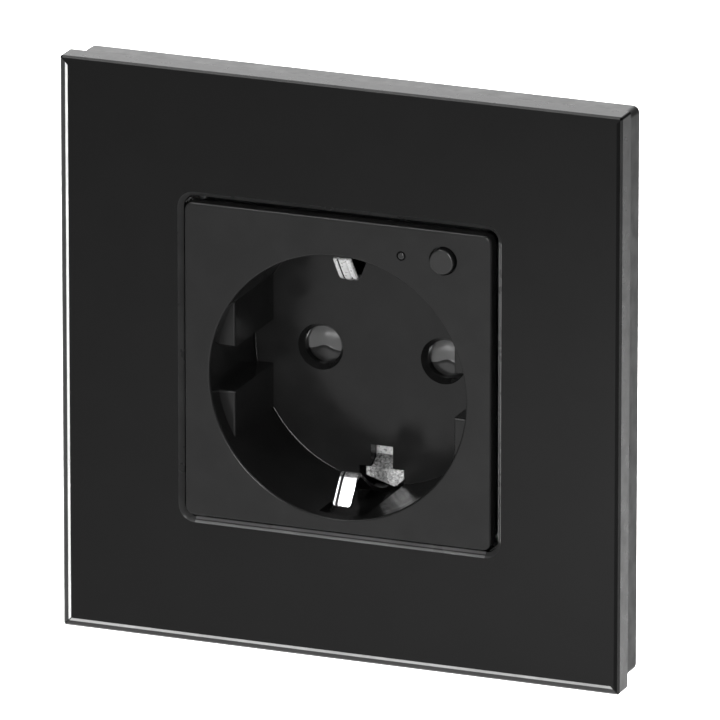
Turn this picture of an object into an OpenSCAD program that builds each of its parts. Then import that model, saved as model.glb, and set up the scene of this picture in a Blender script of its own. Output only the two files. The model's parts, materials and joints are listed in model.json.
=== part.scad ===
// Flush wall socket with a built-in radio switch: a square glass panel on a clip-on carrier,
// an earthed round plug well with a sliding shutter, and a switching unit behind the wall.
// Frame: y = 0 is the wall, -Y faces the room, +Z is up, x = 0 and z = 0 is the panel's centre.

/* [Glass panel] */
// Width and height of the glass panel
panel_w = 86; // [84:1:90]
// Thickness of the glass
glass_t = 3.5; // [3:0.1:4]
// Width of the polished arris round the glass
arris = 0.3; // [0.2:0.1:0.5]
// Width and height of the opening in the glass
opening_w = 48.1; // [48:0.1:48.6]
// Corner radius of the opening in the glass
opening_r = 1.7; // [1.4:0.1:3]
// Width of the bevel round the opening
opening_bevel = 0.8; // [0.4:0.1:1]

/* [Panel carrier] */
// Distance from the wall to the front of the glass
panel_depth = 9.2; // [9:0.1:9.6]
// Width and height of the carrier behind the glass
carrier_w = 84.3; // [83:0.1:85]
// Wall thickness of the carrier
carrier_wall = 1.6; // [1.2:0.1:2]

/* [Socket cover] */
// Width and height of the socket cover
cover_w = 47; // [46.8:0.1:47.6]
// How far the cover stands in front of the glass
cover_proud = 0.7; // [0.4:0.1:1]
// Corner radius of the socket cover
cover_r = 1.2; // [1:0.1:2]
// Radius along the cover's front edge
cover_edge_r = 0.3; // [0.2:0.1:0.8]

/* [Plug well] */
// Inner diameter of the plug well
well_d = 39.4; // [38.6:0.1:39.4]
// Depth of the plug well from the cover's face
well_depth = 17.5; // [17:0.1:18]
// How far the well sits below the panel's centre
well_drop = 1.75; // [1.5:0.05:1.9]
// Half distance between the two flat guides
guide_half = 16.85; // [16.6:0.05:17.4]
// How far the guides start behind the cover's face
guide_set_back = 2.8; // [2:0.1:4]
// Width of the notch in each guide
guide_notch_w = 6.6; // [5:0.1:7]
// Distance between the two pins of a plug
pin_pitch = 19; // [18.9:0.1:19.1]
// Diameter of the pin holes
pin_hole_d = 5.7; // [5.2:0.1:5.8]
// Width of the bevel round each pin hole
pin_bevel = 0.65; // [0.4:0.05:0.8]

/* [Button and lamp] */
// Diameter of the push button
button_d = 3.7; // [3.5:0.1:4]
// Travel of the push button
button_travel = 0.4; // [0.2:0.1:0.4]
// Sideways position of the button
button_x = 16.2; // [16:0.1:16.8]
// Height of the button and of the lamp
button_z = 19.1; // [18.9:0.05:19.15]
// Sideways position of the lamp's light pipe
lamp_x = 9.8; // [9.6:0.1:10.4]

/* [Shutter] */
// Travel of the shutter from closed to open
shutter_travel = 6.2; // [6.2:0.1:6.4]

/* [Unit behind the wall] */
// Width of the rear housing across its flats
housing_w = 50; // [49.8:0.1:50.4]
// Diameter of the circle that trims the housing's corners
housing_d = 57; // [56.6:0.1:58]
// Depth of the unit behind the wall
unit_depth = 33.4; // [33.4:0.1:36]
// Spacing of the wall-box screws
wall_box_pcd = 60; // [59:0.5:61]
// Sideways spacing of the three terminals
terminal_pitch = 12.5; // [12.4:0.1:12.6]
// Travel of a terminal's clamp plate
clamp_travel = 2.3; // [1.5:0.1:2.4]

/* [Hidden] */

eps = 0.01;
sides = [-1, 1];
$fn = 64;

// Planes, along Y
y_glass = -panel_depth;
y_glass_back = y_glass + glass_t;
adhesive_t = 0.3;
carrier_plate_t = 1.5;
y_carrier_plate_back = y_glass_back + adhesive_t + carrier_plate_t;
strap_t = 1.2;
y_cover = y_glass - cover_proud;
cover_plate_t = 2;
y_plate_back = y_cover + cover_plate_t;
y_floor = y_cover + well_depth;
floor_t = 2.1;
pin_bevel_depth = 1;
pin_edge_r = 0.15;
pin_rim_r = pin_hole_d / 2 + pin_bevel - pin_edge_r;
y_floor_back = y_floor + floor_t;
slide_gap = 0.2;
shutter_t = 3.1;
y_shutter = y_floor_back + slide_gap;
y_block = y_shutter + shutter_t + slide_gap;
block_t = 2;
rear_cover_t = 1.8;
y_rear_cover = unit_depth - rear_cover_t;
board_t = 1.6;
y_board = 27.6;

// Well and guides
well_r = well_d / 2;
well_wall = 1.5;
well_z = -well_drop;
well_edge_r = 0.3;
guide_edge_r = 0.4;
guide_side_r = 0.25;
floor_fillet = 0.15;
groove_w = 7;
groove_depth = 0.9;
groove_set_back = 1.8;
groove_box_w = 10;
groove_box_out = 1.45;
tee_leg_w = 3.4;
tee_leg_in = 13.9;
tee_bar_in = 17.2;

// Cover
skirt_w = cover_w - 1;
skirt_t = 1.4;
y_skirt_end = -strap_t - 0.05;
hook_x = 21.55;
hook_t = 1.4;
hook_w = 6;
hook_end = 4.5;
barb_depth = 0.9;
barb_y = 2.6;
button_gap = 0.28;
button_proud = 0.8;
y_plunger = -7;
y_plunger_end = -6.3;
lamp_hole_d = 1.4;
lamp_d = 1.1;
lamp_proud = 0.12;

// Strap
strap_w = 71;
strap_r = 4;
screw_xy = 18;
post_xy = 32.5;
post_d = 3;
m3_clear_d = 3.4;
m3_pilot_d = 3.1;

// Housing
housing_wall = 1.7;
boss_d = 5.4;
boss_end = y_block;
cover_boss_x = 21.2;
cover_boss_z = 8;

// Terminals
terminals = [-terminal_pitch, 0, terminal_pitch];
terminal_y = 23;
bar_z = -13.6;
bar_t = 0.8;
wire_z = -15.9;
wire_dx = 2.9;
wire_hole_d = 3.4;
chamber_w = 9.4;
clamp_t = 1.5;
clamp_z = wire_z - clamp_travel - clamp_t;
screw_head_h = 2;
screw_head_z = clamp_z - screw_head_h - 0.2;
screw_d = 3;
screw_tip_z = -12.4;
thread_bore_d = screw_d + 0.1;
clamp_bore_d = screw_d + 0.3;
clamp_wire_r = 1.8;
chamber_top = bar_z + bar_t + 0.1;

// Shutter, closed
shutter_half_w = 13.2;
shutter_low = well_z - 4.2;
shutter_high = well_z + 3.3;
spring_seat_z = -18.2;

// Sheet parts inside
contact_t = 0.8;
contact_w = 5.6;
contact_gap = 4.5;
y_contact_base = 26;
bridge_w = 6.4;
band_w = 5;

// A shape drawn in the X-Z plane and extruded towards the room, from y_back forwards
module slab(y_back, t) {
    translate([0, y_back, 0]) rotate([90, 0, 0]) linear_extrude(t) children();
}

// A round rod along Y between two planes
module rod(x, z, y0, y1, d, facets = 64) {
    translate([x, y1, z]) rotate([90, 0, 0]) cylinder(h = y1 - y0, d = d, $fn = facets);
}

// A block between two opposite corners
module block(from, to) {
    translate(from) cube(to - from);
}

// A rounded rectangle of exact arcs
module rounded(w, h, r) {
    square([w - 2 * r, h], center = true);
    square([w, h - 2 * r], center = true);
    for (x = sides, z = sides)
        translate([x * (w / 2 - r), z * (h / 2 - r)]) circle(r);
}

// Runs a small profile round a rounded square. The profile's x points outwards from the
// square's edge and its y points to the room, measured from y_back.
module edge_run(w, r, y_back) {
    translate([0, y_back, 0]) rotate([90, 0, 0])
        for (turn = [0:3]) rotate([0, 0, 90 * turn]) {
            translate([w / 2, w / 2 - r, 0]) rotate([90, 0, 0])
                linear_extrude(w - 2 * r) children();
            translate([w / 2 - r, w / 2 - r, 0])
                rotate_extrude(angle = 90) translate([r, 0]) children();
        }
}

// ---- Clip-on panel -------------------------------------------------------------------

module glass_panel() {
    corner_r = 0.4;
    color([0.03, 0.03, 0.035]) difference() {
        slab(y_glass_back, glass_t) difference() {
            rounded(panel_w, panel_w, corner_r);
            rounded(opening_w, opening_w, opening_r);
        }
        edge_run(panel_w, corner_r, y_glass)
            polygon([[-arris, eps], [eps, -arris], [1, 0], [1, 1], [-arris, 1]]);
        edge_run(opening_w, opening_r, y_glass)
            polygon([[-1, 1], [-1, -opening_bevel], [0, -opening_bevel],
                     [opening_bevel, 0], [opening_bevel, 1]]);
    }
}

module panel_adhesive() {
    color([0.12, 0.12, 0.12])
        slab(y_glass_back + adhesive_t, adhesive_t) difference() {
            rounded(80.7, 80.7, 1);
            rounded(52, 52, 2);
        }
}

module panel_carrier() {
    cavity_w = carrier_w - 2 * carrier_wall;
    collar_w = 51.6;
    carrier_opening = 49.2;
    rib_y = -1.6;
    color([0.08, 0.08, 0.085]) {
        difference() {
            slab(0, -y_glass_back) rounded(carrier_w, carrier_w, 1);
            slab(1, 1 - y_carrier_plate_back) difference() {
                rounded(cavity_w, cavity_w, 0.5);
                rounded(collar_w, collar_w, 3);
            }
            slab(1, 1 - rib_y) square(collar_w + 1, center = true);
            slab(y_glass_back + adhesive_t, 1) difference() {
                rounded(81, 81, 1);
                rounded(collar_w, collar_w, 2);
            }
            slab(1, panel_depth) rounded(carrier_opening, carrier_opening, 2.4);
        }
        for (x = sides, z = sides) {
            rod(x * post_xy, z * post_xy, y_carrier_plate_back - eps, -0.2, post_d);
            rod(x * post_xy, z * post_xy, y_carrier_plate_back - eps, rib_y, 5.6);
        }
        slab(rib_y, rib_y - y_carrier_plate_back + eps)
            for (turn = [0:3], s = sides) rotate(90 * turn)
                translate([(collar_w + cavity_w) / 4, 14 * s])
                    square([(cavity_w - collar_w) / 2 + 2 * eps, 1.2], center = true);
    }
}

// ---- Socket cover --------------------------------------------------------------------

// The slot that an earth spring sits in, in the well's wall and through its floor
module earth_slot(s) {
    translate([0, 0, well_z]) {
        intersection() {
            rod(0, 0, y_cover + groove_set_back, y_floor + floor_t + 1,
                2 * (well_r + groove_depth), 96);
            block([-groove_w / 2, y_cover, min(s * tee_bar_in, s * 25)],
                  [groove_w / 2, y_floor_back + 1, max(s * tee_bar_in, s * 25)]);
        }
        block([-tee_leg_w / 2, y_floor - 1, min(s * tee_leg_in, s * tee_bar_in) - eps],
              [tee_leg_w / 2, y_floor_back + 1, max(s * tee_leg_in, s * tee_bar_in) + eps]);
    }
}

// The outline that a notch cuts from the guides, seen along X, with rounded mouth edges
module notch_outline() {
    half = guide_notch_w / 2;
    front = y_cover + guide_set_back;
    translate([front, -half]) square([y_floor - front, guide_notch_w]);
    for (s = sides) difference() {
        translate([front - eps, min(s * half, s * (half + guide_edge_r))])
            square([guide_edge_r + eps, guide_edge_r]);
        translate([front + guide_edge_r, s * (half + guide_edge_r)]) circle(guide_edge_r);
    }
}

// One flat guide on the well's wall, with its notch and a rounded inner edge
module well_guide(s) {
    difference() {
        intersection() {
            rod(0, well_z, y_cover + guide_set_back, y_floor + eps, well_d + 0.4, 96);
            block([min(s * guide_half, s * 25), y_cover, -30],
                  [max(s * guide_half, s * 25), y_floor_back, 30]);
        }
        translate([-25, 0, well_z]) rotate([90, 0, 90]) linear_extrude(50) notch_outline();
        translate([0, y_cover + guide_set_back, -30]) linear_extrude(60) difference() {
            translate([min(s * guide_half, s * (guide_half + guide_side_r)), -eps])
                square([guide_side_r, guide_side_r + eps]);
            translate([s * (guide_half + guide_side_r), guide_side_r]) circle(guide_side_r);
        }
    }
}

module socket_cover() {
    groove_out = well_r + groove_box_out;
    color([0.13, 0.13, 0.135]) difference() {
        union() {
            difference() {
                slab(y_plate_back, cover_plate_t) rounded(cover_w, cover_w, cover_r);
                edge_run(cover_w, cover_r, y_cover) difference() {
                    translate([-cover_edge_r, -cover_edge_r]) square([1, 1 + cover_edge_r]);
                    translate([-cover_edge_r, -cover_edge_r]) circle(cover_edge_r);
                }
            }
            slab(y_skirt_end, y_skirt_end - y_plate_back + eps) difference() {
                rounded(skirt_w, skirt_w, 1.5);
                square(skirt_w - 2 * skirt_t, center = true);
            }
            rod(0, well_z, y_plate_back - eps, y_floor_back, well_d + 2 * well_wall, 96);
            for (s = sides) block(
                [-groove_box_w / 2, y_plate_back - eps, well_z + min(s * 15, s * groove_out)],
                [groove_box_w / 2, y_floor_back, well_z + max(s * 15, s * groove_out)]);
            rod(19.6, 11.6, y_plate_back - eps, -4.4, 2.2);
            rod(5, 20.6, y_plate_back - eps, -4.4, 1.6);
            for (s = sides) {
                block([min(s * hook_x, s * (hook_x + hook_t)), -4, well_z - hook_w / 2],
                      [max(s * hook_x, s * (hook_x + hook_t)), hook_end, well_z + hook_w / 2]);
                hook_barb(s);
            }
        }
        difference() {
            rod(0, well_z, y_cover - 1, y_floor, well_d, 96);
            for (s = sides) well_guide(s);
            translate([0, y_floor, well_z]) rotate([90, 0, 0])
                rotate_extrude($fn = 96) difference() {
                    translate([well_r - floor_fillet, -1]) square([1, 1 + floor_fillet]);
                    translate([well_r - floor_fillet, floor_fillet]) circle(floor_fillet);
                }
        }
        translate([0, y_cover, well_z]) rotate([90, 0, 0])
            rotate_extrude($fn = 96) difference() {
                translate([well_r - 1, -well_edge_r]) square([1 + well_edge_r, 1]);
                translate([well_r + well_edge_r, -well_edge_r]) circle(well_edge_r);
            }
        for (s = sides) {
            earth_slot(s);
            rod(s * pin_pitch / 2, well_z, y_floor - 1, y_floor_back + 1, pin_hole_d);
            translate([s * pin_pitch / 2, y_floor + pin_bevel_depth, well_z]) rotate([90, 0, 0])
                cylinder(h = pin_bevel_depth + eps, d1 = pin_hole_d,
                         d2 = pin_hole_d + 2 * pin_bevel);
            translate([s * pin_pitch / 2, y_floor, well_z]) rotate([90, 0, 0])
                rotate_extrude() difference() {
                    translate([pin_rim_r - 1, -pin_edge_r]) square([1 + pin_edge_r, 1]);
                    translate([pin_rim_r + pin_edge_r, -pin_edge_r]) circle(pin_edge_r);
                }
        }
        rod(button_x, button_z, y_cover - 1, y_plate_back + 1, button_d + 2 * button_gap);
        rod(lamp_x, button_z, y_cover - 1, y_plate_back + 1, lamp_hole_d);
    }
}

// The wedge-shaped barb at the end of a cover hook
module hook_barb(s) {
    translate([0, 0, well_z - hook_w / 2]) linear_extrude(hook_w)
        polygon([[s * (hook_x + hook_t - eps), barb_y],
                 [s * (hook_x + hook_t + barb_depth), barb_y],
                 [s * (hook_x + hook_t - eps), hook_end]]);
}

// ---- Button, lamp and control board ---------------------------------------------------

module button_cap() {
    edge_r = 0.25;
    flange_y = y_plate_back + 0.1;
    flange_t = 0.6;
    color([0.14, 0.14, 0.145]) {
        difference() {
            rod(button_x, button_z, y_cover - button_proud, flange_y + flange_t, button_d);
            translate([button_x, y_cover - button_proud, button_z]) rotate([90, 0, 0])
                rotate_extrude() difference() {
                    translate([button_d / 2 - edge_r, -edge_r]) square(1);
                    translate([button_d / 2 - edge_r, -edge_r]) circle(edge_r);
                }
        }
        rod(button_x, button_z, flange_y, flange_y + flange_t, 4.6);
        block([button_x - 3.2, flange_y, button_z - 1.2],
              [button_x + 3.2, flange_y + flange_t, button_z + 1.2]);
        rod(button_x, button_z, flange_y, y_plunger, 2);
    }
}

module switch_plunger() {
    color([0.75, 0.72, 0.6]) rod(button_x, button_z, y_plunger, y_plunger_end, 2.2);
}

module tactile_switch() {
    body_w = 4;
    color([0.6, 0.61, 0.62]) difference() {
        block([button_x - body_w / 2, -6.5, button_z - body_w / 2],
              [button_x + body_w / 2, -4.4, button_z + body_w / 2]);
        rod(button_x, button_z, -7, y_plunger_end + button_travel + 0.1, 2.6);
    }
}

module control_board() {
    color([0.06, 0.22, 0.12]) slab(-3.4, 1) difference() {
        translate([2.2, 8]) square([19, 13.2]);
        translate([0, well_z]) circle(well_r + well_wall + 0.3, $fn = 96);
        translate([-1, 0]) square([groove_box_w / 2 + 1.4, well_z + well_r + groove_box_out + 0.3]);
    }
}

module status_led() {
    color([0.9, 0.9, 0.8]) block([lamp_x - 0.8, -5.2, button_z - 0.8],
                                 [lamp_x + 0.8, -4.4, button_z + 0.8]);
}

module light_pipe() {
    color([0.3, 0.3, 0.32]) {
        difference() {
            rod(lamp_x, button_z, y_cover - lamp_proud, -5.3, lamp_d);
            translate([lamp_x, y_cover - lamp_proud, button_z]) rotate([90, 0, 0])
                rotate_extrude() difference() {
                    translate([lamp_d / 2 - 0.2, -0.2]) square(1);
                    translate([lamp_d / 2 - 0.2, -0.2]) circle(0.2);
                }
        }
        rod(lamp_x, button_z, y_plate_back + 0.05, y_plate_back + 0.9, 2.2);
    }
}

module board_link() {
    color([0.8, 0.8, 0.78]) {
        block([3, -3.4, 20.4], [11, y_board, 21]);
        block([2.6, -3.4, 19.8], [11.4, -1.6, 21.2]);
        block([2.6, y_board - 2.2, 19.8], [11.4, y_board, 21.2]);
    }
}

// ---- Strap and screws ------------------------------------------------------------------

module mounting_strap() {
    fixing_d = 4;
    clearance = 0.25;
    color([0.75, 0.76, 0.78]) {
        difference() {
            slab(0, strap_t) rounded(strap_w, strap_w, strap_r);
            rod(0, well_z, -3, 3, 2 * (well_r + well_wall + clearance), 96);
            for (s = sides) {
                out = well_r + groove_box_out + clearance;
                block([-groove_box_w / 2 - clearance, -3, well_z + min(0, s * out)],
                      [groove_box_w / 2 + clearance, 3, well_z + max(0, s * out)]);
                block([min(s * 20, s * 23.4), -3, well_z - hook_w / 2 - clearance],
                      [max(s * 20, s * 23.4), 3, well_z + hook_w / 2 + clearance]);
            }
            block([2.4, -3, 19], [11.6, 3, 21.6]);
            for (x = sides, z = sides) {
                rod(x * screw_xy, z * screw_xy, -3, 3, m3_clear_d);
                rod(x * post_xy, z * post_xy, -3, 3, post_d + 0.4);
            }
            for (turn = [0:3])
                rod(wall_box_pcd / 2 * cos(90 * turn), wall_box_pcd / 2 * sin(90 * turn),
                    -3, 3, fixing_d);
        }
        for (s = sides) {
            edge = strap_w / 2;
            block([min(s * (edge - strap_t), s * edge), -3, -12],
                  [max(s * (edge - strap_t), s * edge), -strap_t + eps, 12]);
        }
    }
}

// A pan-head screw along Y, with its head's underside at y and its cross recess to the room
module pan_screw(x, z, y, head_d, head_h, d, length) {
    difference() {
        rod(x, z, y - head_h, y, head_d);
        for (turn = [0, 90]) translate([x, y - head_h, z]) rotate([0, turn, 0])
            cube([head_d * 0.6, head_h, 0.5], center = true);
    }
    rod(x, z, y - eps, y + length, d);
}

module strap_screws() {
    color([0.7, 0.7, 0.72]) for (x = sides, z = sides)
        pan_screw(x * screw_xy, z * screw_xy, -strap_t, 5.4, 1.6, 3, 9);
}

// ---- Shutter and contacts ----------------------------------------------------------------

module shutter() {
    ramp_low = well_z - 0.5;
    ramp_depth = 1.5;
    color([0.05, 0.05, 0.055]) translate([-shutter_half_w, 0, 0]) rotate([90, 0, 90])
        linear_extrude(2 * shutter_half_w) polygon([
            [y_shutter, shutter_low], [y_shutter + shutter_t, shutter_low],
            [y_shutter + shutter_t, shutter_high], [y_shutter + ramp_depth, shutter_high],
            [y_shutter, ramp_low]]);
}

// A coil spring along Z, swept round its own centreline
module coil_spring(x, y, z0, z1, coil_r, wire_r, turns) {
    per_turn = 12;
    ring_sides = 6;
    rings = turns * per_turn;
    points = [for (i = [0:rings], k = [0:ring_sides - 1])
        let (angle = 360 * i / per_turn,
             r = coil_r + wire_r * cos(360 * k / ring_sides),
             z = z0 + (z1 - z0) * i / rings + wire_r * sin(360 * k / ring_sides))
        [x + r * cos(angle), y + r * sin(angle), z]];
    skin = [for (i = [0:rings - 1], k = [0:ring_sides - 1])
        let (next = (k + 1) % ring_sides, a = i * ring_sides, b = a + ring_sides)
        [a + k, a + next, b + next, b + k]];
    ends = [[for (k = [ring_sides - 1:-1:0]) k],
            [for (k = [0:ring_sides - 1]) rings * ring_sides + k]];
    polyhedron(points, concat(skin, ends), convexity = 10);
}

module shutter_springs() {
    wire_r = 0.2;
    color([0.8, 0.8, 0.82]) for (s = sides)
        coil_spring(s * 6.5, y_shutter + shutter_t / 2, spring_seat_z + wire_r + 0.02,
                    shutter_low - wire_r - 0.02, 1.15, wire_r, 7);
}

module contact_block() {
    rail_x = shutter_half_w + 0.3;
    rail_t = 1.2;
    rail_low = shutter_low - shutter_travel - 2.8;
    rail_high = shutter_high + 2.5;
    seat_t = 1.4;
    color([0.16, 0.16, 0.17]) {
        difference() {
            slab(y_block + block_t, block_t) intersection() {
                square(housing_w - 2 * housing_wall - 0.4, center = true);
                circle((housing_d - 2 * housing_wall - 0.6) / 2, $fn = 96);
            }
            for (s = sides) rod(s * pin_pitch / 2, well_z, 0, 40, 6.4);
            block([-3.3, 0, bar_z - 0.3], [3.3, 40, bar_z + bar_t + 0.3]);
            block([-2.8, 0, 8.8], [2.8, 40, 10.2]);
            block([2.4, 0, 19.6], [11.6, 40, 21.4]);
        }
        for (s = sides) {
            block([min(s * rail_x, s * (rail_x + rail_t)), y_floor_back + 0.1, rail_low],
                  [max(s * rail_x, s * (rail_x + rail_t)), y_block + eps, rail_high]);
            block([min(s * 4.8, s * 8.4), y_shutter, spring_seat_z - seat_t],
                  [max(s * 4.8, s * 8.4), y_block + eps, spring_seat_z]);
        }
    }
}

// Two leaves and a base that grip one plug pin
module pin_grip(x) {
    reach = contact_gap / 2 + contact_t;
    for (s = sides) {
        block([x - contact_w / 2, 17, well_z + min(s * contact_gap / 2, s * reach)],
              [x + contact_w / 2, y_contact_base + eps,
               well_z + max(s * contact_gap / 2, s * reach)]);
        translate([x - contact_w / 2, 0, well_z]) rotate([90, 0, 90])
            linear_extrude(contact_w) polygon([
                [17 + eps, s * contact_gap / 2], [17 + eps, s * reach],
                [15.8, s * (reach + 0.9)], [15.8, s * (reach + 0.2)]]);
    }
    block([x - contact_w / 2, y_contact_base, well_z - reach],
          [x + contact_w / 2, y_contact_base + contact_t, well_z + reach]);
}

// A terminal's fixed bar, with the hole that its screw passes
module terminal_bar(x, half_w, y_front = 19) {
    difference() {
        block([x - half_w, y_front, bar_z],
              [x + half_w, y_contact_base + contact_t, bar_z + bar_t]);
        translate([x, terminal_y, bar_z - 1]) cylinder(h = 3, d = thread_bore_d);
    }
}

module line_contact() {
    x = -pin_pitch / 2;
    reach = contact_gap / 2 + contact_t;
    color([0.78, 0.62, 0.3]) {
        pin_grip(x);
        block([x - contact_w / 2, y_contact_base, well_z + reach - eps],
              [x + contact_w / 2, y_board, well_z + reach + 2]);
    }
}

module neutral_contact() {
    x = pin_pitch / 2;
    reach = contact_gap / 2 + contact_t;
    color([0.78, 0.62, 0.3]) {
        pin_grip(x);
        block([x - contact_w / 2, y_contact_base, bar_z],
              [x + contact_w / 2, y_contact_base + contact_t, well_z - reach + eps]);
        terminal_bar(terminals[2], 4.4);
    }
}

module line_terminal_bar() {
    x = terminals[0];
    color([0.78, 0.62, 0.3]) {
        terminal_bar(x, 4.4);
        block([x - 2.4, y_contact_base, bar_z],
              [x + 2.4, y_contact_base + contact_t, -6.6]);
        block([x - 2.4, y_contact_base, -7.6], [x + 2.4, y_board, -6.6]);
    }
}

module earth_bridge() {
    y_plate = y_floor_back + 0.3;
    y_band = y_block + block_t + 0.2;
    top_z = 9.1;
    plate_out = 17;
    color([0.72, 0.73, 0.75]) {
        terminal_bar(0, 4.2);
        block([-3, y_plate, bar_z], [3, 19 + eps, bar_z + bar_t]);
        block([-bridge_w / 2, y_plate, well_z - plate_out],
              [bridge_w / 2, y_plate + contact_t, bar_z + bar_t]);
        block([-band_w / 2, y_band, bar_z], [band_w / 2, y_band + contact_t, top_z + bar_t]);
        block([-band_w / 2, y_plate, top_z], [band_w / 2, y_band + contact_t, top_z + bar_t]);
        block([-bridge_w / 2, y_plate, top_z],
              [bridge_w / 2, y_plate + contact_t, well_z + plate_out]);
    }
}

// The bowed spring on one side of the well: s = -1 is the lower one, s = 1 the upper one.
// Points are [y, distance from the well's centre].
module earth_spring(s) {
    strip_w = 3;
    strip_t = 0.6;
    strip_x = -0.2;
    plate_y = y_floor_back + 0.3;
    tab_y = y_floor + 0.1;
    root = [tab_y + 0.3, 20.05];
    crest = [y_cover + 6.2, 14.78];
    blade = [[y_cover + 5.8, 14.74], [y_cover + 5.45, 14.9], [y_cover + 5.05, 15.2],
             [y_cover + 4.7, 15.6], [y_cover + 3.85, 16.7], [y_cover + 2.45, 18.62]];
    steps = 12;
    rear = [for (i = [0:steps]) let (t = 1 - i / steps)
        [crest[0] + (root[0] - crest[0]) * t, crest[1] + (root[1] - crest[1]) * sin(90 * t)]];
    line = concat(rear, blade);
    last = len(line) - 1;
    function along(i) = line[min(i + 1, last)] - line[max(i - 1, 0)];
    function side(i, d) = let (v = along(i)) line[i] + d * [-v[1], v[0]] / norm(v);
    outline = concat([for (i = [0:last]) side(i, strip_t / 2)],
                     [for (i = [last:-1:0]) side(i, -strip_t / 2)]);
    translate([strip_x - strip_w / 2, 0, well_z]) rotate([90, 0, 90]) linear_extrude(strip_w)
        polygon([for (p = outline) [p[0], s * p[1]]]);
    // Upright tab in the bar of the slot
    translate([0, tab_y + strip_t, well_z]) rotate([90, 0, 0]) linear_extrude(strip_t)
        polygon([for (p = [[-2.45, 17.3], [3.35, 17.3], [3.35, 18.6], [1.7, 20.1],
                           [-1.45, 19.6], [-2.45, 18.8]]) [p[0], s * p[1]]]);
    // Sloping neck through the leg of the slot, down to the bridge
    translate([-1.6, 0, well_z]) rotate([90, 0, 90]) linear_extrude(3.2)
        polygon([for (p = [[tab_y, 17.3], [plate_y, 15.9], [plate_y, 16.6],
                           [tab_y + strip_t, 17.7]]) [p[0], s * p[1]]]);
}

module earth_spring_lower() { color([0.85, 0.85, 0.87]) earth_spring(-1); }
module earth_spring_upper() { color([0.85, 0.85, 0.87]) earth_spring(1); }

// ---- Terminals -----------------------------------------------------------------------

module terminal_block() {
    top = -10.6;
    color([0.2, 0.2, 0.21]) difference() {
        slab(30, 13) intersection() {
            translate([-18.6, -23]) square([37.2, 23 + top]);
            circle((housing_d - 2 * housing_wall - 0.8) / 2, $fn = 96);
        }
        for (x = terminals) {
            block([x - chamber_w / 2, 18.5, -30], [x + chamber_w / 2, 40, chamber_top]);
            translate([x, terminal_y, chamber_top - 1]) cylinder(h = 9, d = screw_d + 0.6);
        }
        block([-3.3, 0, bar_z - 0.2], [3.3, 19, chamber_top]);
        for (x = [terminals[0], pin_pitch / 2])
            block([x - 3, y_contact_base - 0.2, chamber_top - 1], [x + 3, 40, 0]);
    }
}

module terminal_screw(x) {
    color([0.8, 0.8, 0.82]) difference() {
        union() {
            translate([x, terminal_y, screw_head_z])
                cylinder(h = screw_head_h, d = 5.2);
            translate([x, terminal_y, screw_head_z])
                cylinder(h = screw_tip_z - screw_head_z, d = screw_d);
        }
        translate([x, terminal_y, screw_head_z]) cube([4.4, 0.8, 2], center = true);
        translate([x, terminal_y, screw_head_z]) cube([0.8, 4.4, 2], center = true);
    }
}

module clamp_plate(x) {
    half_w = 4.5;
    color([0.76, 0.76, 0.78]) difference() {
        block([x - half_w, terminal_y - 3.5, clamp_z],
              [x + half_w, terminal_y + 3.5, clamp_z + clamp_t]);
        translate([x, terminal_y, clamp_z - 1]) cylinder(h = clamp_t + 2, d = clamp_bore_d);
        for (s = sides)
            translate([x + s * wire_dx, terminal_y, clamp_z + clamp_t + clamp_wire_r - 0.3])
                rotate([90, 0, 0]) cylinder(h = 20, r = clamp_wire_r, center = true);
    }
}

module terminal_screw_line() { terminal_screw(terminals[0]); }
module terminal_screw_earth() { terminal_screw(terminals[1]); }
module terminal_screw_neutral() { terminal_screw(terminals[2]); }
module clamp_plate_line() { clamp_plate(terminals[0]); }
module clamp_plate_earth() { clamp_plate(terminals[1]); }
module clamp_plate_neutral() { clamp_plate(terminals[2]); }

// ---- Housing --------------------------------------------------------------------------

// The housing's outline: a square with its corners trimmed by a circle
module housing_outline(inset = 0) {
    intersection() {
        square(housing_w - 2 * inset, center = true);
        circle(housing_d / 2 - inset, $fn = 96);
    }
}

module rear_housing() {
    color([0.1, 0.1, 0.105]) difference() {
        union() {
            slab(y_rear_cover, y_rear_cover) difference() {
                housing_outline();
                housing_outline(housing_wall);
            }
            for (x = sides, z = sides)
                rod(x * screw_xy, z * screw_xy, 0, boss_end, boss_d);
            for (s = sides) {
                rod(s * cover_boss_x, cover_boss_z, 18, y_rear_cover, 4.2);
                block([min(s * cover_boss_x, s * 24), 18, cover_boss_z - 2.1],
                      [max(s * cover_boss_x, s * 24), y_rear_cover, cover_boss_z + 2.1]);
            }
        }
        for (x = sides, z = sides) rod(x * screw_xy, z * screw_xy, -1, 9, m3_pilot_d);
        for (s = sides) {
            rod(s * cover_boss_x, cover_boss_z, 23, 40, 2.1);
            block([min(s * 22, s * 26), 2.2, well_z - 3.4],
                  [max(s * 22, s * 26), 4.9, well_z + 3.4]);
        }
        for (x = terminals)
            translate([x, terminal_y, -40]) cylinder(h = 40 + screw_head_z, d = 5.6);
    }
}

module rear_cover() {
    color([0.12, 0.12, 0.125]) difference() {
        slab(unit_depth, rear_cover_t) housing_outline();
        for (x = terminals, s = sides)
            rod(x + s * wire_dx, wire_z, 20, 40, wire_hole_d);
        for (s = sides) {
            rod(s * cover_boss_x, cover_boss_z, 20, 40, 2.4);
            rod(s * cover_boss_x, cover_boss_z, unit_depth - 1, 40, 4.4);
        }
    }
}

module rear_cover_screws() {
    color([0.7, 0.7, 0.72]) for (s = sides)
        translate([0, unit_depth, 0]) mirror([0, 1, 0])
            pan_screw(s * cover_boss_x, cover_boss_z, 1, 3.8, 1, 2, 8);
}

// ---- Power board and what stands on it ---------------------------------------------------

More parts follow.
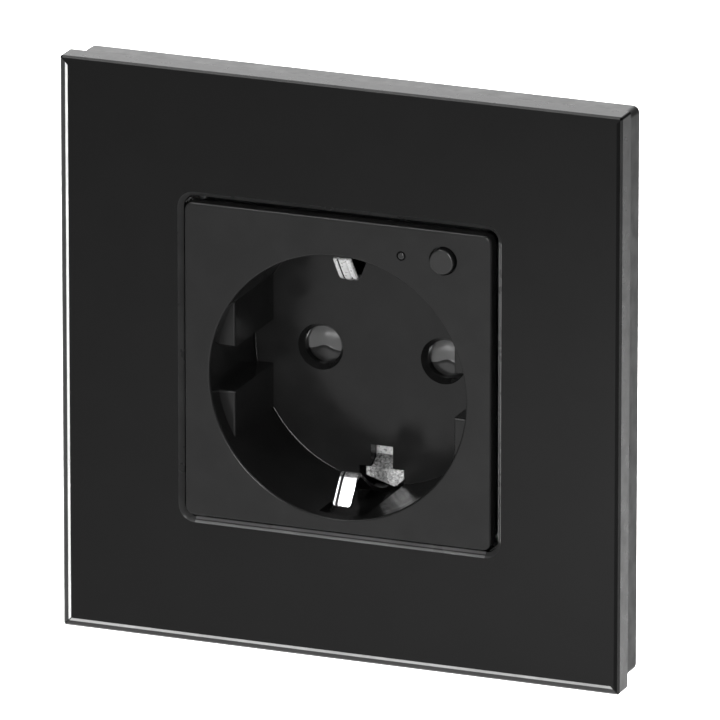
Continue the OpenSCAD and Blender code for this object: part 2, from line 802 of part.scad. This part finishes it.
module power_board() {
    color([0.07, 0.25, 0.13]) slab(y_board + board_t, board_t) intersection() {
        translate([-22.9, -8]) square([45.8, 31]);
        circle((housing_d - 2 * housing_wall - 0.8) / 2, $fn = 96);
        difference() {
            square(46, center = true);
            for (s = sides) translate([s * 22.6, cover_boss_z]) square([8, 5], center = true);
        }
    }
}

relay_from = [-18.6, 16.8, 4];
relay_to = [-3, y_board, 15];
relay_wall = 0.7;
armature_y = 18;
armature_t = 0.8;
armature_gap = 0.55;
coil_x = -8.8;
coil_z = 9.5;
pivot_x = -13.5;
pivot_y = armature_y + 0.95;
pivot_r = 0.3;

module relay_case() {
    color([0.1, 0.25, 0.55]) difference() {
        block(relay_from, relay_to);
        block(relay_from + relay_wall * [1, 1, 1],
              relay_to + [-relay_wall, 1, -relay_wall]);
    }
}

module relay_base() {
    gap = relay_wall + 0.1;
    color([0.15, 0.15, 0.16])
        block([relay_from[0] + gap, y_board - 1.4, relay_from[2] + gap],
              [relay_to[0] - gap, y_board, relay_to[2] - gap]);
}

module relay_coil() {
    y_pole = armature_y + armature_t + armature_gap;
    color([0.72, 0.42, 0.2]) {
        rod(coil_x, coil_z, y_pole + 0.6, y_pole + 5.8, 6.6);
        rod(coil_x, coil_z, y_pole + 0.3, y_pole + 0.7, 7.6);
        rod(coil_x, coil_z, y_pole + 5.7, y_pole + 6.1, 7.6);
        rod(coil_x, coil_z, y_pole, y_pole + 6.1, 2.8);
    }
}

module relay_yoke() {
    y_pole = armature_y + armature_t + armature_gap;
    y_base = y_board - 1.4;
    color([0.55, 0.56, 0.58]) {
        difference() {
            block([-14, y_pole - 0.2, 6.4], [-13, y_base, 12.6]);
            translate([pivot_x, pivot_y, 5]) cylinder(h = 9, r = pivot_r + 0.06, $fn = 48);
        }
        block([-14, y_pole + 6.1, 6.4], [-5.4, y_base, 12.6]);
    }
}

module relay_armature() {
    color([0.6, 0.61, 0.63]) {
        block([-14.2, armature_y, 6.4], [-5.2, armature_y + armature_t, 12.6]);
        translate([pivot_x, pivot_y, 6.4]) cylinder(h = 6.2, r = pivot_r, $fn = 48);
    }
}

module relay_moving_contact() {
    color([0.8, 0.6, 0.35]) {
        block([-5.2, armature_y, 8.3], [-3.9, armature_y + 0.3, 10.7]);
        rod(-4.6, coil_z, armature_y + 0.3 - eps, armature_y + 0.6, 1.2);
    }
}

module relay_fixed_contact() {
    color([0.8, 0.6, 0.35]) {
        block([-4.9, armature_y + 1.45, 8.3], [-4.3, y_board - 1.4, 10.7]);
        rod(-4.6, coil_z, armature_y + 1.15, armature_y + 1.5, 1.2);
    }
}

module power_converter() {
    color([0.18, 0.18, 0.2]) block([3.4, 17, 4], [16.6, y_board, 14.6]);
}

module bulk_capacitor() {
    color([0.12, 0.12, 0.3]) difference() {
        rod(-8, 19.2, 17.6, y_board, 6.3);
        rod(-8, 19.2, 17, 17.8, 4.8);
    }
}

module x_capacitor() {
    color([0.75, 0.7, 0.2]) block([0.6, 17.6, 15.2], [12.6, y_board, 19.4]);
}

module varistor() {
    color([0.15, 0.35, 0.6]) translate([-15.2, 23.4, 17.6]) {
        cylinder(h = 2.6, d = 6.6, center = true);
        for (s = sides) translate([s * 1.6, 2, 0]) rotate([-90, 0, 0])
            cylinder(h = y_board - 25.4, d = 0.7);
    }
}

module fuse_resistor() {
    color([0.3, 0.5, 0.35]) {
        rod(17.6, 17, 19.5, 26, 2.8);
        rod(17.6, 17, 18.8, y_board, 0.7);
    }
}

module wifi_module() {
    y_back = y_board + board_t;
    color([0.7, 0.7, 0.68]) {
        block([-8, y_back, -3], [8, y_back + 0.8, 18]);
        block([-7, y_back + 0.8 - eps, -2], [7, y_back + 2.1, 11]);
    }
}

glass_panel();
panel_adhesive();
panel_carrier();
mounting_strap();
strap_screws();
socket_cover();
button_cap();
switch_plunger();
tactile_switch();
control_board();
status_led();
light_pipe();
board_link();
shutter();
shutter_springs();
contact_block();
line_contact();
neutral_contact();
line_terminal_bar();
earth_bridge();
earth_spring_lower();
earth_spring_upper();
terminal_block();
terminal_screw_line();
terminal_screw_earth();
terminal_screw_neutral();
clamp_plate_line();
clamp_plate_earth();
clamp_plate_neutral();
rear_housing();
rear_cover();
rear_cover_screws();
power_board();
relay_case();
relay_base();
relay_coil();
relay_yoke();
relay_armature();
relay_moving_contact();
relay_fixed_contact();
power_converter();
bulk_capacitor();
x_capacitor();
varistor();
fuse_resistor();
wifi_module();
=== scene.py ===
import json
import math

import bmesh
import bpy
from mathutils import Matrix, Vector


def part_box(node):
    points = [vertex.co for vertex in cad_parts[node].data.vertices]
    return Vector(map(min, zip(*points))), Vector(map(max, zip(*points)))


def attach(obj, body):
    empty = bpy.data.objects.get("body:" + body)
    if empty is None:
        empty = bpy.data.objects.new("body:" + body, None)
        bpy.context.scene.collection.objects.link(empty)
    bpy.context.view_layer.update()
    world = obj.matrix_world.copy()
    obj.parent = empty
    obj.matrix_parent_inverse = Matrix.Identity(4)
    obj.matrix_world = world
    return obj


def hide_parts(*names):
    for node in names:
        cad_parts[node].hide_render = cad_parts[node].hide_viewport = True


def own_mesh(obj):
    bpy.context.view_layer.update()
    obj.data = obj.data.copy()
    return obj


# Sizes below are in millimetres unless they carry MM, which turns them into metres.
MM = 0.001
WELL_Z = -1.75
PIN_X = 9.5

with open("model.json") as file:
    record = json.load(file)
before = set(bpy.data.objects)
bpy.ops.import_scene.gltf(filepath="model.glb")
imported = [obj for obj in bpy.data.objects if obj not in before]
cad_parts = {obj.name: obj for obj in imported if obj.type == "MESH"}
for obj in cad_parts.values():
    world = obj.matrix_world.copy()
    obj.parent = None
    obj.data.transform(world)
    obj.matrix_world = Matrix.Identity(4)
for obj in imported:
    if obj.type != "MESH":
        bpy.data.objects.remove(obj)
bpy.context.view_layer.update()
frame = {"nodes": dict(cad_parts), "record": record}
nodes = frame["nodes"]


def mm(*values):
    return Vector(values) * MM


# ---- Camera -----------------------------------------------------------------------------

glass_lo, glass_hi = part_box("glass_panel")
azimuth, elevation = math.radians(21.6), math.radians(17.54)
camera_distance = 2.0
shift_right, shift_up, target_depth = 1.174 * MM, 0.745 * MM, 5 * MM
back = Vector((math.sin(azimuth) * math.cos(elevation),
               -math.cos(azimuth) * math.cos(elevation), math.sin(elevation)))
side = Vector((math.cos(azimuth), math.sin(azimuth), 0))
upward = back.cross(side)
target = Vector((0, glass_lo.y + target_depth, 0)) + side * shift_right + upward * shift_up
camera_data = bpy.data.cameras.new("camera")
camera_data.lens = 698.3
camera_data.sensor_width = 36
camera_data.clip_start = 0.05
camera_data.clip_end = 50
camera = bpy.data.objects.new("camera", camera_data)
camera.location = target + back * camera_distance
camera.rotation_euler = back.to_track_quat("Z", "Y").to_euler()
bpy.context.scene.collection.objects.link(camera)
bpy.context.scene.camera = camera


# ---- Material helpers -----------------------------------------------------------------------

def set_in(shader, **values):
    for name, value in values.items():
        shader.inputs[name.replace("_", " ")].default_value = value


class Mat:
    """A node material with one Principled shader and small helpers to feed it."""

    def __init__(self, name, **sockets):
        self.mat = bpy.data.materials.new(name)
        self.mat.use_nodes = True
        self.tree = self.mat.node_tree
        self.shader = self.tree.nodes["Principled BSDF"]
        set_in(self.shader, **sockets)
        self.bumps = []

    def node(self, kind, **inputs):
        n = self.tree.nodes.new(kind)
        for key, value in inputs.items():
            key = key.replace("_", " ")
            if hasattr(value, "is_output"):
                self.tree.links.new(value, n.inputs[key])
            else:
                n.inputs[key].default_value = value
        return n

    def coords(self, scale=(1, 1, 1)):
        where = self.tree.nodes.new("ShaderNodeTexCoord").outputs["Object"]
        return self.node("ShaderNodeMapping", Vector=where, Scale=scale).outputs["Vector"]

    def noise(self, scale, detail=3.0, rough=0.5, stretch=(1, 1, 1)):
        n = self.node("ShaderNodeTexNoise", Vector=self.coords(stretch), Scale=scale,
                      Detail=detail, Roughness=rough)
        return n.outputs["Fac"]

    def ramp(self, fac, stops):
        n = self.node("ShaderNodeValToRGB", Fac=fac)
        ramp = n.color_ramp
        while len(ramp.elements) < len(stops):
            ramp.elements.new(0.5)
        for element, (at, colour) in zip(ramp.elements, stops):
            element.position = at
            element.color = colour if len(colour) == 4 else (*colour, 1)
        return n.outputs["Color"]

    def remap(self, fac, lo, hi, src=(0.3, 0.7)):
        n = self.node("ShaderNodeMapRange", Value=fac)
        n.inputs["From Min"].default_value, n.inputs["From Max"].default_value = src
        n.inputs["To Min"].default_value, n.inputs["To Max"].default_value = lo, hi
        return n.outputs["Result"]

    def to(self, socket, value):
        self.tree.links.new(value, self.shader.inputs[socket.replace("_", " ")])

    def bump(self, height, strength, distance):
        n = self.node("ShaderNodeBump", Height=height, Strength=strength, Distance=distance)
        if self.bumps:
            self.tree.links.new(self.bumps[-1], n.inputs["Normal"])
        self.bumps.append(n.outputs["Normal"])
        self.to("Normal", n.outputs["Normal"])


def moulded(name, tone, rough, specular=0.5, grain=1.0, tint=(1, 1, 1)):
    """Moulded plastic or painted glass: slight clouding and a fine grain."""
    m = Mat(name, Roughness=rough, Specular_IOR_Level=specular)
    a = tuple(tone * 0.88 * t for t in tint)
    b = tuple(tone * 1.12 * t for t in tint)
    m.to("Base Color", m.ramp(m.noise(160, 4), [(0.35, a), (0.65, b)]))
    m.to("Roughness", m.remap(m.noise(420, 3), rough - 0.05, rough + 0.06))
    m.bump(m.noise(5200, 2, 0.6), 0.22 * grain, 0.00003)
    m.bump(m.noise(900, 2), 0.04 * grain, 0.00006)
    return m.mat


def plated(name, tone, rough, stretch=(1, 1, 8), tint=(1, 1, 1.01)):
    """Bare or plated metal, brushed along the axis that is stretched."""
    m = Mat(name, Metallic=1.0)
    a = tuple(tone * 0.86 * t for t in tint)
    b = tuple(tone * 1.08 * t for t in tint)
    m.to("Base Color", m.ramp(m.noise(220, 4), [(0.3, a), (0.7, b)]))
    m.to("Roughness", m.remap(m.noise(600, 3, 0.6, stretch), rough * 0.75, rough * 1.35))
    m.bump(m.noise(1500, 3, 0.6, stretch), 0.25, 0.00003)
    return m.mat


def stamped(name, low, high):
    """Coarse sparkling metal, as a rough press tool leaves it."""
    m = Mat(name, Metallic=0.45, Specular_IOR_Level=0.8)
    m.to("Base Color", m.ramp(m.noise(2600, 3, 0.7), [(0.36, (low, low, low)),
                                                     (0.62, (high, high, high))]))
    m.to("Roughness", m.remap(m.noise(1800, 3), 0.2, 0.5))
    m.bump(m.noise(2400, 4, 0.7), 0.8, 0.00025)
    return m.mat


cover_mat = moulded("cover_plastic", 0.013, 0.19, 0.25, 0.3)
button_mat = moulded("button_plastic", 0.014, 0.15, 0.45, 0.3)
carrier_mat = moulded("carrier_plastic", 0.018, 0.5, 0.5)
housing_mat = moulded("housing_plastic", 0.03, 0.45, 0.5, 1.4)
insulator_mat = moulded("insulator_plastic", 0.05, 0.45)
ivory_mat = moulded("ivory_plastic", 0.6, 0.45, tint=(1, 0.96, 0.84))
relay_mat = moulded("relay_plastic", 0.25, 0.25, tint=(0.3, 0.8, 1.9))
film_mat = moulded("film_case", 0.55, 0.4, tint=(1.2, 1, 0.35))
sleeve_mat = moulded("capacitor_sleeve", 0.04, 0.2, tint=(0.9, 0.95, 2))
board_mat = moulded("circuit_board", 0.09, 0.3, tint=(0.35, 1.2, 0.6))
adhesive_mat = moulded("adhesive_foam", 0.06, 0.8, 0.3, 2)
smoked_mat = moulded("smoked_plastic", 0.02, 0.2)
zinc_mat = plated("zinc_steel", 0.62, 0.35)
bright_mat = plated("bright_steel", 0.75, 0.12)
# Painted shade for the earth springs: their rib groove and the strip behind the crest
shade_painted_steel_mat = plated("shade_painted_steel", 0.03, 0.35)
stamped_mat = stamped("stamped_steel", 0.3, 1.0)
# A darker grey for the earth springs' crest and the link behind their tab
dark_grey_steel_mat = stamped("dark_grey_steel", 0.06, 0.5)
brushed_mat = stamped("brushed_steel", 0.85, 1.0)
bridge_mat = stamped("bridge_steel", 0.75, 1.0)
brass_mat = plated("contact_brass", 0.7, 0.25, tint=(1.1, 0.85, 0.45))
copper_mat = plated("coil_copper", 0.6, 0.3, tint=(1.2, 0.65, 0.35))
shutter_mat = moulded("shutter_plastic", 0.025, 0.14, 0.5, 0.2)
# Painted light: a lighter tone on the shutter's ramps than on the rest of the bar
ramp_painted_light_mat = moulded("shutter_ramp_painted_light", 0.14, 0.2, 0.6, 0.3)
glass_mat = moulded("panel_glass", 0.003, 0.06, 0.22, 0.04)
# The glass has one material for each strip of its rim and of the bevel round its opening; most of
# them paint light and shade.
glass_edge_mat = moulded("glass_edge", 0.01, 0.3, 0.3, 0.3)
# Painted shade: the dark band along the glass's front edge and a dark line in the bevel on the
# right
painted_dark_band_mat = moulded("glass_painted_dark_band", 0.035, 0.2, 0.4, 0.2)
# Painted highlights: bright glints along the left and bottom of the glass's front edge
painted_glint_side_mat = moulded("glass_painted_glint_side", 0.85, 0.3, 0.5, 0.4)
painted_glint_low_mat = moulded("glass_painted_glint_low", 0.42, 0.3, 0.5, 0.4)
shadow_mat = moulded("glass_shadow", 0.002, 0.1, 0.1, 0.2)
# Painted light and painted shade on the bevel round the opening: lit on the bottom and right,
# shaded on the top and left
bevel_painted_lit_mat = moulded("glass_bevel_painted_lit", 0.17, 0.3, 0.4, 0.6)
bevel_painted_shade_mat = moulded("glass_bevel_painted_shade", 0.035, 0.3, 0.4, 0.6)

by_slot = {
    "panel_glass": glass_mat, "adhesive": adhesive_mat, "carrier_plastic": carrier_mat,
    "cover_plastic": cover_mat, "shutter_plastic": shutter_mat, "smoked_plastic": smoked_mat,
    "ivory_plastic": ivory_mat, "insulator_plastic": insulator_mat, "relay_plastic": relay_mat,
    "capacitor_sleeve": sleeve_mat, "film_case": film_mat, "circuit_board": board_mat,
    "zinc_steel": zinc_mat, "bright_steel": bright_mat, "contact_brass": brass_mat,
    "coil_copper": copper_mat,
}
for part in frame["record"]["subparts"]:
    obj = nodes[part["node"]]
    mat = by_slot[part["material_slot"]]
    if part["node"] in ("rear_housing", "rear_cover"):
        mat = housing_mat
    if part["node"] == "earth_bridge":
        mat = bridge_mat
    if part["node"] in ("button_cap", "light_pipe"):
        mat = button_mat
    obj.data.materials.clear()
    obj.data.materials.append(mat)

# ---- Mesh helpers ---------------------------------------------------------------------------

def new_piece(name, verts, faces, mats, body, face_mats=None, smooth=False):
    """A mesh object that rides on a body, from points in metres."""
    mesh = bpy.data.meshes.new(name)
    mesh.from_pydata([tuple(v) for v in verts], [], faces)
    for mat in mats:
        mesh.materials.append(mat)
    if face_mats:
        mesh.polygons.foreach_set("material_index", face_mats)
    bm = bmesh.new()
    bm.from_mesh(mesh)
    bmesh.ops.remove_doubles(bm, verts=bm.verts, dist=1e-7)
    bmesh.ops.recalc_face_normals(bm, faces=bm.faces)
    bm.to_mesh(mesh)
    bm.free()
    if smooth:
        mesh.shade_smooth()
        mesh.set_sharp_from_angle(angle=math.radians(35))
    piece = bpy.data.objects.new(name, mesh)
    bpy.context.scene.collection.objects.link(piece)
    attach(piece, body)
    return piece


def bevelled(piece, width, segments=2):
    bevel = piece.modifiers.new("bevel", "BEVEL")
    bevel.width = width
    bevel.segments = segments
    bevel.limit_method = "ANGLE"
    bevel.angle_limit = math.radians(30)
    return piece


CORNER_STEPS = 8


def rounded_loop(half, radius, y):
    """A rounded square at depth y, anticlockwise from the right side as seen from the room."""
    loop = []
    for corner in range(4):
        for i in range(CORNER_STEPS + 1):
            turn = math.radians(90 * corner + 90 * i / CORNER_STEPS)
            middle = math.radians(90 * corner + 45)
            cx = math.copysign(half - radius, math.cos(middle))
            cz = math.copysign(half - radius, math.sin(middle))
            loop.append((cx + radius * math.cos(turn), y, cz + radius * math.sin(turn)))
    return loop


def side_of(i):
    """0 top, 1 left, 2 bottom, 3 right for a straight stretch of the loop, 4 at a corner."""
    corner, step = divmod(i, CORNER_STEPS + 1)
    return corner if step == CORNER_STEPS else 4


# ---- Glass panel ------------------------------------------------------------------------------

def build_glass():
    half = glass_hi.x
    front, rear = glass_lo.y, glass_hi.y
    opening = 24.05 * MM
    corner, opening_corner = 0.4 * MM, 1.7 * MM
    arris, margin, glint, bevel = 0.3 * MM, 0.85 * MM, 1.24 * MM, 0.8 * MM
    # Apart from plain and edge, these looks paint light or shade into the glass
    plain, edge, dark, bright_side, bright_low, shadow, bevel_painted_lit, bevel_painted_shade = range(8)
    # From the back of the opening, round the rim and over the front, into the opening
    loops = [rounded_loop(opening, opening_corner, rear),
             rounded_loop(half, corner, rear),
             rounded_loop(half, corner, front + arris),
             rounded_loop(half - arris, 0.12 * MM, front),
             rounded_loop(half - margin, 0.1 * MM, front),
             rounded_loop(half - glint, 0.1 * MM, front),
             rounded_loop(opening + bevel, opening_corner + bevel, front),
             rounded_loop(opening + bevel * 0.62, opening_corner + bevel * 0.62,
                          front + bevel * 0.38),
             rounded_loop(opening + bevel * 0.46, opening_corner + bevel * 0.46,
                          front + bevel * 0.54),
             rounded_loop(opening + bevel * 0.1, opening_corner + bevel * 0.1,
                          front + bevel * 0.9),
             rounded_loop(opening, opening_corner, front + bevel)]
    # One row for each ring between two loops: top, left, bottom, right, corners
    # The bevel is painted lit on the bottom and right and shaded on the top and left
    ground = [bevel_painted_shade, bevel_painted_shade, bevel_painted_lit, bevel_painted_lit, bevel_painted_shade]
    # The rows paint a dark band round the rim, bright glints on the left and bottom, and shadow
    # further in
    looks = [[plain] * 5, [edge, edge, edge, edge, plain], [dark, dark, dark, dark, plain],
             [plain, dark, dark, shadow, plain],
             [plain, bright_side, bright_low, plain, plain], [plain] * 5, ground,
             [bevel_painted_shade, bevel_painted_shade, bevel_painted_shade, dark, bevel_painted_shade], ground,
             [shadow, shadow, bevel_painted_shade, shadow, shadow], [shadow] * 5]
    count = len(loops[0])
    verts = [point for loop in loops for point in loop]
    faces, looks_of = [], []
    for k in range(len(loops)):
        a, b = k * count, (k + 1) % len(loops) * count
        for i in range(count):
            j = (i + 1) % count
            faces.append((a + i, a + j, b + j, b + i))
            looks_of.append(looks[k][side_of(i)])
    piece = new_piece("panel_glass_plate", verts, faces,
                      [glass_mat, glass_edge_mat, painted_dark_band_mat, painted_glint_side_mat, painted_glint_low_mat,
                       shadow_mat, bevel_painted_lit_mat, bevel_painted_shade_mat],
                      "panel", looks_of, True)
    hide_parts("glass_panel")


build_glass()


# ---- Earth springs ------------------------------------------------------------------------------

COVER_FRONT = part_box("socket_cover")[0].y / MM


def smoothed(line, times=2):
    """Corner cutting that keeps both ends."""
    for _ in range(times):
        cut = [line[0]]
        for a, b in zip(line, line[1:]):
            cut += [a.lerp(b, 0.25), a.lerp(b, 0.75)]
        line = cut + [line[-1]]
    return line


def build_earth_spring(name, side, section):
    """The ribbed blade, swept along its line, with the rough stamped tab it springs from."""
    toe_y = 2.45
    strip_x, strip_scale = -0.25, 0.94
    front = COVER_FRONT
    root = Vector((front + 17.9, 20.05))
    crest = Vector((front + 6.2, 14.78))
    steps = 12
    # The strip is painted dark as shade from 6.6 mm behind the cover front back to the tab, and a
    # darker grey from 5.3 mm over the crest
    shade_painted_from, dark_grey_from = front + 6.6, front + 5.3
    line = []
    for i in range(steps + 1):
        t = 1 - i / steps
        line.append(Vector((crest.x + (root.x - crest.x) * t,
                            crest.y + (root.y - crest.y) * math.sin(math.pi / 2 * t))))
    line += [Vector((front + y, r)) for y, r in
             ((5.8, 14.74), (5.45, 14.9), (5.05, 15.2), (4.7, 15.6), (3.85, 16.7),
              (3.1, 17.72), (toe_y + 0.1, 18.48), (toe_y, 18.62))]
    line = smoothed(line)
    verts, faces, looks = [], [], []
    count = len(section)
    for i, at in enumerate(line):
        along = (line[min(i + 1, len(line) - 1)] - line[max(i - 1, 0)]).normalized()
        inward = Vector((-along.y, along.x))
        left = (line[-1] - at).length
        width = 1 - 0.16 * max(0, 1 - left / 0.35) ** 2
        for u, v in section:
            point = at + inward * v * (0.75 if left < 0.05 else 1)
            verts.append(mm(strip_x + u * width * strip_scale, point.x, WELL_Z + side * point.y))
    for i in range(len(line) - 1):
        for k in range(count):
            n = (k + 1) % count
            faces.append((i * count + k, i * count + n, (i + 1) * count + n, (i + 1) * count + k))
            # The rib groove and the strip behind the crest take the painted-shade material
            groove = any(-1.06 <= section[j][0] <= -0.72 and section[j][1] < 0.1 for j in (k, n))
            if groove or line[i].x > shade_painted_from:
                looks.append(2)
            else:
                # Between the two marks, over the crest, the strip takes the darker grey
                looks.append(3 if line[i].x > dark_grey_from else 0)
    faces += [tuple(range(count)), tuple(range(len(verts) - 1, len(verts) - 1 - count, -1))]
    looks += [2, 0]

    def prism(outline, place, depth, look):
        base = len(verts)
        size = len(outline)
        for level in (0, depth):
            verts.extend(place(a, b, level) for a, b in outline)
        faces.append(tuple(range(base, base + size)))
        faces.append(tuple(range(base + 2 * size - 1, base + size - 1, -1)))
        looks.extend((look, look))
        for k in range(size):
            n = (k + 1) % size
            faces.append((base + k, base + n, base + size + n, base + size + k))
            looks.append(look)

    tab_y = front + 17.6
    plate_y = front + 19.9
    prism([(-2.45, 17.3), (3.35, 17.3), (3.35, 18.7), (3.1, 18.95), (2.2, 19.75), (1.8, 19.88),
           (-2.45, 18.6)],
          lambda x, r, d: mm(x, tab_y + d, WELL_Z + side * r), 0.6, 1)
    prism([(tab_y, 17.35), (tab_y + 0.15, 17.12), (plate_y, 15.9), (plate_y, 16.6),
           (tab_y + 0.6, 17.7)],
          lambda y, r, d: mm(-1.6 + d, y, WELL_Z + side * r), 3.2, 3)
    piece = new_piece(name + "_ribbed", verts, faces,
                      [bright_mat if side < 0 else brushed_mat, stamped_mat, shade_painted_steel_mat,
                       dark_grey_steel_mat], "insert",
                      looks, True)
    bevelled(piece, 0.09 * MM, 2)
    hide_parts(name)


# Cross-sections of the strip, anticlockwise: along X and out of its face
one_rib = [(-1.5, 0.05), (-1.46, 0.2), (-1.38, 0.26), (-1.12, 0.27), (-1.04, 0.2), (-1, 0),
           (-0.8, 0), (-0.76, 0.2), (-0.68, 0.28), (-0.3, 0.3), (0.3, 0.3), (0.8, 0.3),
           (1.46, 0.28), (1.5, -0.3), (0.9, -0.2), (0, -0.14),
           (-0.9, -0.2), (-1.46, -0.3), (-1.5, -0.2)]
two_ribs = [(-1.5, -0.02), (-1.46, 0.1), (-1.34, 0.2), (-0.92, 0.24), (-0.8, 0.16),
            (-0.74, 0), (-0.62, 0), (-0.56, 0.16), (-0.44, 0.27), (0, 0.3), (0.42, 0.27),
            (0.54, 0.16), (0.6, 0), (0.72, 0), (0.78, 0.16), (0.9, 0.24), (1.34, 0.14),
            (1.5, -0.1), (1.46, -0.3), (0.9, -0.2), (0, -0.14), (-0.9, -0.2), (-1.46, -0.3),
            (-1.5, -0.2)]
build_earth_spring("earth_spring_lower", -1, one_rib)
build_earth_spring("earth_spring_upper", 1, two_ribs)


# ---- Shutter and its springs --------------------------------------------------------------------

def build_shutter():
    """The bar with a crowned ramp behind each pin hole and a fine rim below it; the ramps carry a
    lighter tone, painted light.
    """
    low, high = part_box("shutter")
    front, rear = low.y / MM, high.y / MM
    half, bottom, top = high.x / MM, low.z / MM, high.z / MM
    ramp_depth, steps, rises = 1.5, 132, 8
    crown_width, crown_height, crown_offset = 1.25, 0.62, 0.3
    edge_below_pins, lip = 1.1, 0.03
    rim_radius, rim_wire, rim_sides, rim_steps = 2.58, 0.07, 6, 27
    verts, faces, looks = [], [], []
    for i in range(steps + 1):
        x = -half + 2 * half * i / steps
        crown = max(math.exp(-((x - s * PIN_X + crown_offset) / crown_width) ** 2)
                    for s in (-1, 1))
        edge = WELL_Z - edge_below_pins + crown_height * crown
        ring = [(front, bottom + 0.15), (front, edge - 0.6), (front, edge - 0.08),
                (front + lip, edge)]
        for k in range(1, rises + 1):
            t = k / rises
            depth = ramp_depth * (t - 0.22 * math.sin(math.pi * t))
            ring.append((front + depth, edge + (top - edge) * t))
        ring += [(rear - 0.15, top), (rear, top - 0.15), (rear, bottom + 0.15),
                 (rear - 0.15, bottom), (front + 0.15, bottom)]
        verts += [mm(x, y, z) for y, z in ring]
    count = len(ring)
    for i in range(steps):
        for k in range(count):
            n = (k + 1) % count
            faces.append((i * count + k, i * count + n, (i + 1) * count + n, (i + 1) * count + k))
            # The ramp faces take the lighter tone that paints light on them
            looks.append(1 if 3 <= k < 3 + rises else 0)
    faces += [tuple(range(count)), tuple(range(len(verts) - 1, len(verts) - 1 - count, -1))]
    looks += [0, 0]
    for s in (-1, 1):
        arc = [math.radians(205 + 5 * k) for k in range(rim_steps)]
        base = len(verts)
        for a in arc:
            for k in range(rim_sides):
                turn = 2 * math.pi * k / rim_sides
                r = rim_radius + rim_wire * math.cos(turn)
                verts.append(mm(s * PIN_X + r * math.cos(a),
                                front + 0.04 + rim_wire * math.sin(turn),
                                WELL_Z + r * math.sin(a)))
        for i in range(len(arc) - 1):
            for k in range(rim_sides):
                n = (k + 1) % rim_sides
                a = base + i * rim_sides
                faces.append((a + k, a + n, a + rim_sides + n, a + rim_sides + k))
                looks.append(0)
        faces += [tuple(range(base, base + rim_sides)),
                  tuple(range(len(verts) - 1, len(verts) - 1 - rim_sides, -1))]
        looks += [0, 0]
    piece = new_piece("shutter_bar", verts, faces, [shutter_mat, ramp_painted_light_mat], "pin_shutter",
                      looks, True)
    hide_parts("shutter")


def build_shutter_springs():
    """Two coil springs that the shutter slides down onto, built at one fixed length."""
    low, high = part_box("shutter_springs")
    seat, wire, coil_r, turns, per_turn, around = -18.2, 0.2, 1.15, 7, 28, 10
    spring_x, shutter_travel = 6.5, 6.2
    y = (low.y + high.y) / 2 / MM
    z0, z1 = seat + wire + 0.02, high.z / MM - wire
    verts, faces = [], []
    for s in (-1, 1):
        base = len(verts)
        rings = turns * per_turn
        for i in range(rings + 1):
            angle = 2 * math.pi * i / per_turn
            t = i / rings
            flat = t + 0.05 * math.sin(2 * math.pi * t)
            for k in range(around):
                turn = 2 * math.pi * k / around
                r = coil_r + wire * math.cos(turn)
                verts.append(mm(s * spring_x + r * math.cos(angle), y + r * math.sin(angle),
                                z0 + (z1 - z0) * flat + wire * math.sin(turn)))
        for i in range(rings):
            for k in range(around):
                n = (k + 1) % around
                a = base + i * around
                faces.append((a + k, a + n, a + around + n, a + around + k))
        faces += [tuple(range(base, base + around)),
                  tuple(range(len(verts) - 1, len(verts) - 1 - around, -1))]
    piece = new_piece("shutter_spring_pair", verts, faces, [bright_mat], "insert", None, True)
    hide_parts("shutter_springs")
    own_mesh(piece)


build_shutter()
build_shutter_springs()

# ---- Floor, light -----------------------------------------------------------------------

floor_z = -0.163
mesh = bpy.data.meshes.new("floor")
mesh.from_pydata([(-4, -4, floor_z), (4, -4, floor_z), (4, 4, floor_z), (-4, 4, floor_z)],
                 [], [(0, 1, 2, 3)])
floor = bpy.data.objects.new("floor", mesh)
bpy.context.scene.collection.objects.link(floor)
m = Mat("floor_card", Roughness=0.9, Specular_IOR_Level=0.1)
m.to("Base Color", m.ramp(m.noise(3, 2), [(0.3, (0.86, 0.86, 0.86)), (0.7, (0.9, 0.9, 0.9))]))
floor.data.materials.append(m.mat)

world = bpy.data.worlds.new("world")
bpy.context.scene.world = world
world.use_nodes = True
world.node_tree.nodes["Background"].inputs["Color"].default_value = (1, 1, 1, 1)
world.node_tree.nodes["Background"].inputs["Strength"].default_value = 0.14


def softbox(name, where, look, size, radiance, spread=180):
    """A rectangular light whose face has the given radiance."""
    data = bpy.data.lights.new(name, "AREA")
    data.shape = "RECTANGLE"
    data.size, data.size_y = size
    data.energy = radiance * math.pi * size[0] * size[1]
    data.spread = math.radians(spread)
    lamp = bpy.data.objects.new(name, data)
    lamp.location = where
    lamp.rotation_euler = (Vector(where) - Vector(look)).to_track_quat("Z", "Y").to_euler()
    bpy.context.scene.collection.objects.link(lamp)


softbox("back_wall", (-0.85, 2.2, 0.75), (0, 0, 0), (2.0, 1.2), 1.45)
softbox("back_top", (-0.25, 0.55, 0.5), (-0.2, 0.5, -0.16), (0.36, 0.42), 15.0, 110)
softbox("over", (-0.35, -0.45, 0.82), (0, 0, 0), (0.6, 0.6), 1.7)
softbox("ramp_card", (-0.36, -0.88, 0.33), (0, 0, 0), (0.3, 0.2), 4.0)
softbox("edge_key", (0.42, -0.56, 0.70), (0, 0, 0), (0.05, 0.05), 200.0)
softbox("edge_top", (-0.35, -0.54, 0.77), (0, 0, 0), (0.05, 0.04), 120.0)
softbox("front", (0.02, -1.15, 0.1), (0, 0, 0), (0.3, 0.3), 0.62, 24)
softbox("floor_pool", (0.0, -0.54, 0.0), (0.0, -0.54, -0.16), (0.04, 0.3), 26.0)
bpy.context.scene.view_settings.view_transform = "Standard"
bpy.context.scene.view_settings.look = "None"
